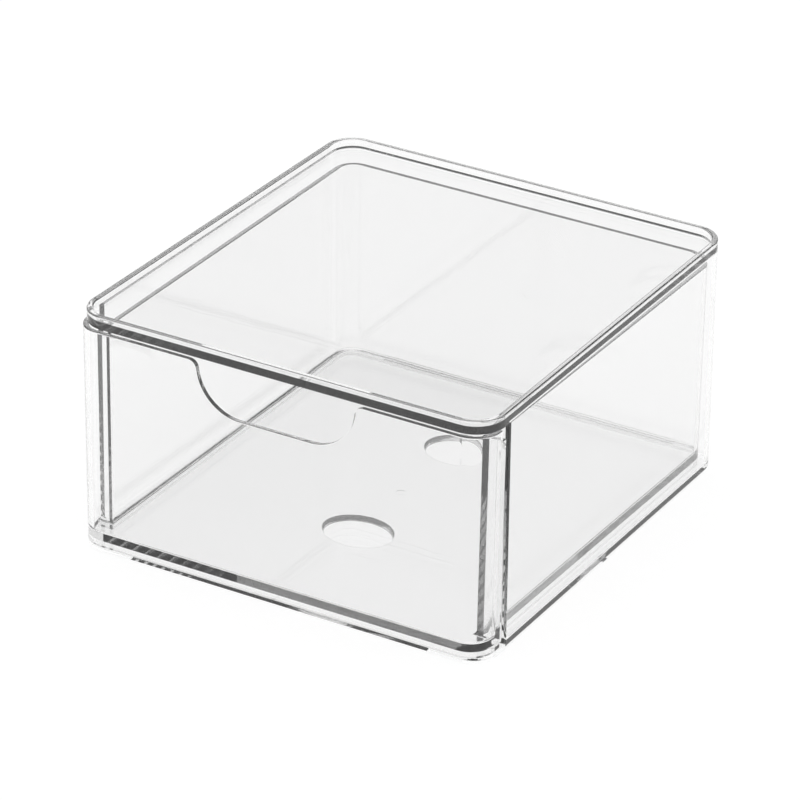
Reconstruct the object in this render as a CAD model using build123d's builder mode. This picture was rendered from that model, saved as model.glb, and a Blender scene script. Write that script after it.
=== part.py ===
# Clear moulded storage box: an open-fronted case with a raised rim, and a pull-out drawer.
# Millimetres, +Z up, drawer front towards -Y, origin under the middle of the closed box.
import math
import os

from build123d import *

os.makedirs("parts", exist_ok=True)

# Case, outside
case_width_front = 170.0
case_width_back = 166.0
case_depth = 181.0
case_front_y = -89.75
corner_radius = 11.7
base_front_radius = 9.5
total_height = 95.0

# Case, walls and plates
wall = 2.2
rim_height = 2.6
rim_width = 2.4
top_thickness = 2.3
base_thickness = 1.9
base_edge_round = 0.9
side_wall_setback = 15.6
side_wall_round = 0.8
chamber_top_fillet = 0.6
chamber_floor_fillet = 1.4
rim_round = 0.7

# Case, foot ring and its gaps
foot_height = 0.3
foot_width = 2.6
foot_round = 0.2
foot_gap_width = 124.0
side_notch_width = 3.0

# Case, oval holes in the base
base_hole_half_width = 13.3
base_hole_half_depth = 10.2
base_hole_front_y = -32.6
base_hole_back_y = 41.0
base_hole_round = 1.4

# Drawer, outside
drawer_front_proud = 0.9
drawer_front_half_width = 84.2
drawer_front_radius = 9.5
drawer_side_half_width = 78.2
drawer_back_clearance = 5.0
drawer_back_radius = 8.0
drawer_draft = 0.35
shoulder_depth = 12.6

# Drawer, heights
drawer_bottom_gap = 0.15
floor_underside = 4.2
floor_thickness = 2.7
front_top = 89.4
side_top = 85.1

# Drawer, walls
drawer_wall = 2.0
floor_fillet = 1.5
top_round = 0.4

# Finger scoop in the drawer front
scoop_half_width = 32.4
scoop_depth = 19.3
scoop_low_radius = 18.0
scoop_lip_radius = 3.6

# Gate marks left by the mould, as shallow round recesses
gate_diameter = 3.6
gate_depth = 0.15

# Derived levels
rim_floor = total_height - rim_height
chamber_top = rim_floor - top_thickness
chamber_floor = foot_height + base_thickness
case_back_y = case_front_y + case_depth
case_middle_y = case_front_y + case_depth / 2
side_wall_front_y = case_front_y + side_wall_setback
drawer_bottom = chamber_floor + drawer_bottom_gap
floor_top = floor_underside + floor_thickness
drawer_front_y = case_front_y - drawer_front_proud
drawer_back_y = case_back_y - drawer_back_clearance
shoulder_y = case_front_y + shoulder_depth
scoop_bottom = front_top - scoop_depth
scoop_low_centre_x = scoop_half_width - scoop_low_radius
scoop_low_centre_z = scoop_bottom + scoop_low_radius
scoop_arc_drop = scoop_low_centre_z - (front_top - scoop_lip_radius)
scoop_arc_reach = math.sqrt((scoop_low_radius + scoop_lip_radius) ** 2 - scoop_arc_drop**2)
scoop_lip_x = scoop_low_centre_x + scoop_arc_reach
scoop_arc_share = scoop_low_radius / (scoop_low_radius + scoop_lip_radius)
scoop_turn = (
    scoop_low_centre_x + scoop_arc_reach * scoop_arc_share,
    scoop_low_centre_z - scoop_arc_drop * scoop_arc_share,
)
clear_of_part = 20.0
same_level = 0.01


def case_plan(inset, front_radius=corner_radius):
    """Rounded outline of the case seen from above, moved inwards by the inset."""
    front = case_front_y + inset
    back = case_back_y - inset
    half_front = case_width_front / 2 - inset
    half_back = case_width_back / 2 - inset
    corners = [(-half_front, front), (half_front, front), (half_back, back), (-half_back, back)]
    with BuildSketch() as plan:
        with BuildLine():
            Polyline(*corners, close=True)
        make_face()
        fillet(plan.vertices().group_by(Axis.Y)[0], front_radius - inset)
        fillet(plan.vertices().group_by(Axis.Y)[-1], corner_radius - inset)
    return plan.sketch


def drawer_plan(inset):
    """Stepped outline of the drawer seen from above, moved inwards by the inset."""
    front = drawer_front_y + inset
    back = drawer_back_y - inset
    half_front = drawer_front_half_width - inset
    half_side = drawer_side_half_width - inset
    step = shoulder_y - inset
    right = [(half_front, front), (half_front, step), (half_side, step), (half_side, back)]
    left = [(-x, y) for x, y in reversed(right)]
    with BuildSketch() as plan:
        with BuildLine():
            Polyline(*right, *left, close=True)
        make_face()
        front_corners = plan.vertices().group_by(Axis.Y)[0]
        fillet(front_corners, drawer_front_radius - inset)
        back_corners = plan.vertices().group_by(Axis.Y)[-1]
        fillet(back_corners, drawer_back_radius - inset)
    return plan.sketch


def edges_at(part, height):
    """Edges of the part whose middle lies at the height."""
    return [edge for edge in part.edges() if abs(edge.center().Z - height) < same_level]


# Base plate on its own, with tighter front corners and a rounded upper edge
with BuildPart() as base_plate:
    with BuildSketch(Plane.XY):
        add(case_plan(0, base_front_radius))
    extrude(amount=chamber_floor)
    fillet(edges_at(base_plate, chamber_floor), base_edge_round)

with BuildPart() as case:
    # Outside block
    with BuildSketch(Plane.XY):
        add(case_plan(0))
    extrude(amount=total_height)
    # Chamber for the drawer
    with BuildSketch(Plane.XY.offset(chamber_floor)):
        add(case_plan(wall))
    extrude(amount=chamber_top - chamber_floor, mode=Mode.SUBTRACT)
    fillet(edges_at(case, chamber_floor), chamber_floor_fillet)
    fillet(edges_at(case, chamber_top), chamber_top_fillet)
    # Open front, with the side walls set back from the plates
    with BuildSketch(Plane.XY.offset(chamber_floor)):
        with Locations((0, side_wall_front_y)):
            Rectangle(
                case_width_front + clear_of_part,
                side_wall_setback + clear_of_part,
                align=(Align.CENTER, Align.MAX),
            )
    extrude(amount=chamber_top - chamber_floor, mode=Mode.SUBTRACT)
    # Side walls rounded along their front edges
    wall_ends = [face for face in case.faces() if abs(face.center().Y - side_wall_front_y) < same_level]
    upright = [edge for face in wall_ends for edge in face.edges().filter_by(Axis.Z)]
    fillet(upright, side_wall_round)
    # The rounded base plate takes the place of the block's foot in front of the side walls
    with BuildSketch(Plane.XY):
        with Locations((0, side_wall_front_y)):
            Rectangle(
                case_width_front + clear_of_part,
                side_wall_setback + clear_of_part,
                align=(Align.CENTER, Align.MAX),
            )
    extrude(amount=chamber_floor, mode=Mode.SUBTRACT)
    add(base_plate.part)
    # Raised rim round the top
    with BuildSketch(Plane.XY.offset(rim_floor)):
        add(case_plan(rim_width))
    extrude(amount=rim_height, mode=Mode.SUBTRACT)
    fillet(edges_at(case, total_height), rim_round)
    # Foot ring under the base, with gaps in its front, back and sides
    fillet(edges_at(case, 0), foot_round)
    with BuildSketch(Plane.XY):
        add(case_plan(foot_width, base_front_radius))
    extrude(amount=foot_height, mode=Mode.SUBTRACT)
    with BuildSketch(Plane.XY):
        with Locations((0, case_middle_y)):
            Rectangle(foot_gap_width, case_depth + clear_of_part)
            Rectangle(case_width_front + clear_of_part, side_notch_width)
    extrude(amount=foot_height, mode=Mode.SUBTRACT)
    # Oval holes in the base, rounded over on their upper edge
    with BuildSketch(Plane.XY):
        with Locations((0, base_hole_front_y), (0, base_hole_back_y)):
            Ellipse(base_hole_half_width, base_hole_half_depth)
    before = case.edges()
    extrude(amount=chamber_floor, mode=Mode.SUBTRACT)
    hole_edges = [edge for edge in case.edges() - before if edge.center().Z > chamber_floor - same_level]
    fillet(hole_edges, base_hole_round)
    # Gate mark in the middle of the back wall
    with BuildSketch(Plane.XZ.offset(-case_back_y)):
        with Locations((0, total_height / 2)):
            Circle(gate_diameter / 2)
    extrude(amount=gate_depth, mode=Mode.SUBTRACT)

with BuildPart() as drawer:
    # Outside, leaning out slightly towards the top
    with BuildSketch(Plane.XY.offset(drawer_bottom)):
        add(drawer_plan(0))
    extrude(amount=front_top - drawer_bottom, taper=-drawer_draft)
    # Inside of the tub
    with BuildSketch(Plane.XY.offset(floor_top)):
        add(drawer_plan(drawer_wall))
    extrude(amount=front_top - floor_top, taper=-drawer_draft, mode=Mode.SUBTRACT)
    fillet(edges_at(drawer, floor_top), floor_fillet)
    # Side and back walls stop lower than the front
    with BuildSketch(Plane.XY.offset(side_top)):
        with Locations((0, shoulder_y - drawer_wall)):
            Rectangle(case_width_front + clear_of_part, case_depth, align=(Align.CENTER, Align.MIN))
    extrude(amount=front_top - side_top, mode=Mode.SUBTRACT)
    # Shallow hollow under the floor
    with BuildSketch(Plane.XY.offset(drawer_bottom)):
        add(drawer_plan(drawer_wall))
    extrude(amount=floor_underside - drawer_bottom, mode=Mode.SUBTRACT)
    # Finger scoop in the front, its sides rolling over into the top edge
    with BuildSketch(Plane.XZ.offset(-drawer_front_y - clear_of_part / 2)):
        with BuildLine():
            Line((0, scoop_bottom), (scoop_low_centre_x, scoop_bottom))
            side = TangentArc((scoop_low_centre_x, scoop_bottom), scoop_turn, tangent=(1, 0))
            TangentArc(scoop_turn, (scoop_lip_x, front_top), tangent=side % 1)
            Polyline(
                (scoop_lip_x, front_top),
                (scoop_lip_x, front_top + clear_of_part),
                (0, front_top + clear_of_part),
            )
            mirror(about=Plane.YZ)
        make_face()
    extrude(amount=clear_of_part, both=True, mode=Mode.SUBTRACT)
    # Gate mark under the middle of the floor
    with BuildSketch(Plane.XY.offset(floor_underside)):
        with Locations((0, (drawer_front_y + drawer_back_y) / 2)):
            Circle(gate_diameter / 2)
    extrude(amount=gate_depth, mode=Mode.SUBTRACT)
    # Softened top edges
    fillet(edges_at(drawer, front_top) + edges_at(drawer, side_top), top_round)

case.part.label = "case"
drawer.part.label = "drawer"

export_step(case.part, "parts/case.step")
export_step(drawer.part, "parts/drawer.step")

if __name__ == "__main__":
    for body in (case.part, drawer.part):
        box = body.bounding_box()
        print(body.label, len(body.solids()), box.min, box.max, round(body.volume))
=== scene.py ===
import math

import bmesh
import bpy
from mathutils import Matrix, Vector

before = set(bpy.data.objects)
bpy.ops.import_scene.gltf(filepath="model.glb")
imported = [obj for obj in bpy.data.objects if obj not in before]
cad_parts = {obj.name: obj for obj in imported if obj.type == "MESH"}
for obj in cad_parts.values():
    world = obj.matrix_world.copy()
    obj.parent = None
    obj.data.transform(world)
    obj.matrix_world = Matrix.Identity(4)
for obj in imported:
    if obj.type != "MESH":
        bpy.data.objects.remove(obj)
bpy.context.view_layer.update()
scene = bpy.context.scene

# Camera: angles in degrees, distances in metres, sensor and lens in millimetres
camera_azimuth = 30.24
camera_elevation = 27.27
camera_roll = 0.836
camera_distance = 1.9
camera_aim = Vector((0, 0.00325, 0.048))
camera_reach = 50.0
sensor_width = 36.0
lens_length = 233.84
shift_right = -0.01382
shift_up = -0.01993

# Clear plastic, with its absorption per metre and its wave height in metres
plastic_index = 1.49
plastic_tint = (0.90, 0.90, 0.90, 1)
plastic_density = 56.0
plastic_clearness = 0.99
polish_roughness = 0.004

# Smudges on the plastic, and where in the noise they start and are full
smudge_roughness = 0.02
smudge_scale = 38.0
smudge_detail = 4.0
smudge_breakup = 0.6
smudge_stops = [(0.52, 0.0), (0.72, 1.0)]

# Slow waves of the moulded surface
wave_scale = 60.0
wave_detail = 1.0
wave_breakup = 0.4
wave_height = 0.000015

# Studio floor and light, with the light's grey levels from straight down (0) to overhead (1)
floor_half = 6.0
floor_colour = (0.15, 0.15, 0.15, 1)
floor_roughness = 0.9
floor_glow = 0.90
studio_stops = [(0.50, 0.72), (0.62, 0.74), (0.76, 0.80), (0.90, 1.0)]

# Bounces of light
clear_bounces = 48
gloss_bounces = 24
floor_bounces = 4

white = (1, 1, 1, 1)


class Wire:
    """One output of a shader node, so that shader maths reads as arithmetic."""

    def __init__(self, graph, socket):
        self.graph = graph
        self.socket = socket

    def combine(self, operation, first, second):
        return self.graph.node("ShaderNodeMath", {"operation": operation}, {0: first, 1: second})

    def __add__(self, other):
        return self.combine("ADD", self, other)

    __radd__ = __add__

    def __mul__(self, other):
        return self.combine("MULTIPLY", self, other)

    __rmul__ = __mul__


class Graph:
    """A node tree that is filled one node at a time."""

    def __init__(self, tree):
        self.tree = tree
        tree.nodes.clear()

    def node(self, kind, settings=None, sockets=None, output=0):
        """Adds a node: its settings first, then the values or links of its sockets."""
        made = self.tree.nodes.new(kind)
        for name, value in (settings or {}).items():
            if name == "stops":
                set_stops(made.color_ramp, value)
            else:
                setattr(made, name, value)
        for name, value in (sockets or {}).items():
            if isinstance(value, Wire):
                self.tree.links.new(value.socket, made.inputs[name])
            else:
                made.inputs[name].default_value = value
        return Wire(self, made.outputs[output]) if made.outputs else None


def set_stops(ramp, stops):
    """Gives a colour ramp its stops, as (place, grey level) pairs."""
    while len(ramp.elements) < len(stops):
        ramp.elements.new(1.0)
    for element, (place, level) in zip(ramp.elements, stops):
        element.position = place
        element.color = (level, level, level, 1)


def clear_plastic():
    """Polished clear plastic, with faint smudges and the slow waves of a moulded surface."""
    material = bpy.data.materials.new("clear moulded plastic")
    material.use_nodes = True
    graph = Graph(material.node_tree)
    place = graph.node("ShaderNodeTexCoord", output="Object")
    patches = graph.node(
        "ShaderNodeTexNoise",
        {"noise_dimensions": "3D"},
        {
            "Vector": place,
            "Scale": smudge_scale,
            "Detail": smudge_detail,
            "Roughness": smudge_breakup,
        },
    )
    smudge = graph.node("ShaderNodeValToRGB", {"stops": smudge_stops}, {"Fac": patches})
    waves = graph.node(
        "ShaderNodeTexNoise",
        {"noise_dimensions": "3D"},
        {
            "Vector": place,
            "Scale": wave_scale,
            "Detail": wave_detail,
            "Roughness": wave_breakup,
        },
    )
    ripple = graph.node(
        "ShaderNodeBump",
        {},
        {"Strength": 1.0, "Distance": wave_height, "Height": waves},
    )
    surface = graph.node(
        "ShaderNodeBsdfPrincipled",
        {},
        {
            "Base Color": white,
            "Roughness": polish_roughness + smudge_roughness * smudge,
            "IOR": plastic_index,
            "Transmission Weight": plastic_clearness,
            "Normal": ripple,
        },
    )
    inside = graph.node(
        "ShaderNodeVolumeAbsorption",
        {},
        {"Color": plastic_tint, "Density": plastic_density},
    )
    graph.node("ShaderNodeOutputMaterial", {}, {"Surface": surface, "Volume": inside})
    return material


def dress_frame():
    """Gives both moulded pieces their plastic."""
    plastic = clear_plastic()
    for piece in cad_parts.values():
        piece.data.materials.clear()
        piece.data.materials.append(plastic)


def lay_floor():
    """A plain pale floor."""
    mesh = bpy.data.meshes.new("studio floor")
    shape = bmesh.new()
    bmesh.ops.create_grid(shape, x_segments=1, y_segments=1, size=floor_half)
    shape.to_mesh(mesh)
    shape.free()
    floor = bpy.data.objects.new("studio_floor", mesh)
    scene.collection.objects.link(floor)
    material = bpy.data.materials.new("pale floor")
    material.use_nodes = True
    graph = Graph(material.node_tree)
    surface = graph.node(
        "ShaderNodeBsdfPrincipled",
        {},
        {
            "Base Color": floor_colour,
            "Roughness": floor_roughness,
            "Specular IOR Level": 0.0,
            "Emission Color": white,
            "Emission Strength": floor_glow,
        },
    )
    graph.node("ShaderNodeOutputMaterial", {}, {"Surface": surface})
    mesh.materials.append(material)


def light_studio():
    """Plain soft light: bright overhead, calmer towards the horizon."""
    world = bpy.data.worlds.new("studio")
    scene.world = world
    world.use_nodes = True
    graph = Graph(world.node_tree)
    direction = graph.node("ShaderNodeTexCoord", output="Generated")
    height = graph.node("ShaderNodeSeparateXYZ", {}, {"Vector": direction}, output="Z")
    level = graph.node("ShaderNodeValToRGB", {"stops": studio_stops}, {"Fac": height * 0.5 + 0.5})
    glow = graph.node("ShaderNodeBackground", {}, {"Color": level, "Strength": 1.0})
    graph.node("ShaderNodeOutputWorld", {}, {"Surface": glow})


def place_camera():
    """The camera at the photograph's viewing angle."""
    azimuth = math.radians(camera_azimuth)
    elevation = math.radians(camera_elevation)
    roll = math.radians(camera_roll)
    back = Vector(
        (
            math.sin(azimuth) * math.cos(elevation),
            -math.cos(azimuth) * math.cos(elevation),
            math.sin(elevation),
        )
    )
    right = Vector((math.cos(azimuth), math.sin(azimuth), 0))
    up = back.cross(right)
    turned_right = right * math.cos(roll) + up * math.sin(roll)
    turned_up = up * math.cos(roll) - right * math.sin(roll)
    lens = bpy.data.cameras.new("camera")
    lens.sensor_width = sensor_width
    lens.lens = lens_length
    lens.shift_x = shift_right
    lens.shift_y = shift_up
    lens.clip_end = camera_reach
    camera = bpy.data.objects.new("camera", lens)
    scene.collection.objects.link(camera)
    turn = Matrix((turned_right, turned_up, back)).transposed().to_4x4()
    camera.matrix_world = Matrix.Translation(camera_aim + back * camera_distance) @ turn
    scene.camera = camera


def set_light_paths():
    """Enough bounces for light that travels along inside the clear walls."""
    scene.view_settings.view_transform = "Standard"
    scene.cycles.max_bounces = clear_bounces
    scene.cycles.transmission_bounces = clear_bounces
    scene.cycles.glossy_bounces = gloss_bounces
    scene.cycles.diffuse_bounces = floor_bounces
    scene.cycles.caustics_refractive = True
    scene.cycles.caustics_reflective = True


dress_frame()
lay_floor()
light_studio()
place_camera()
set_light_paths()
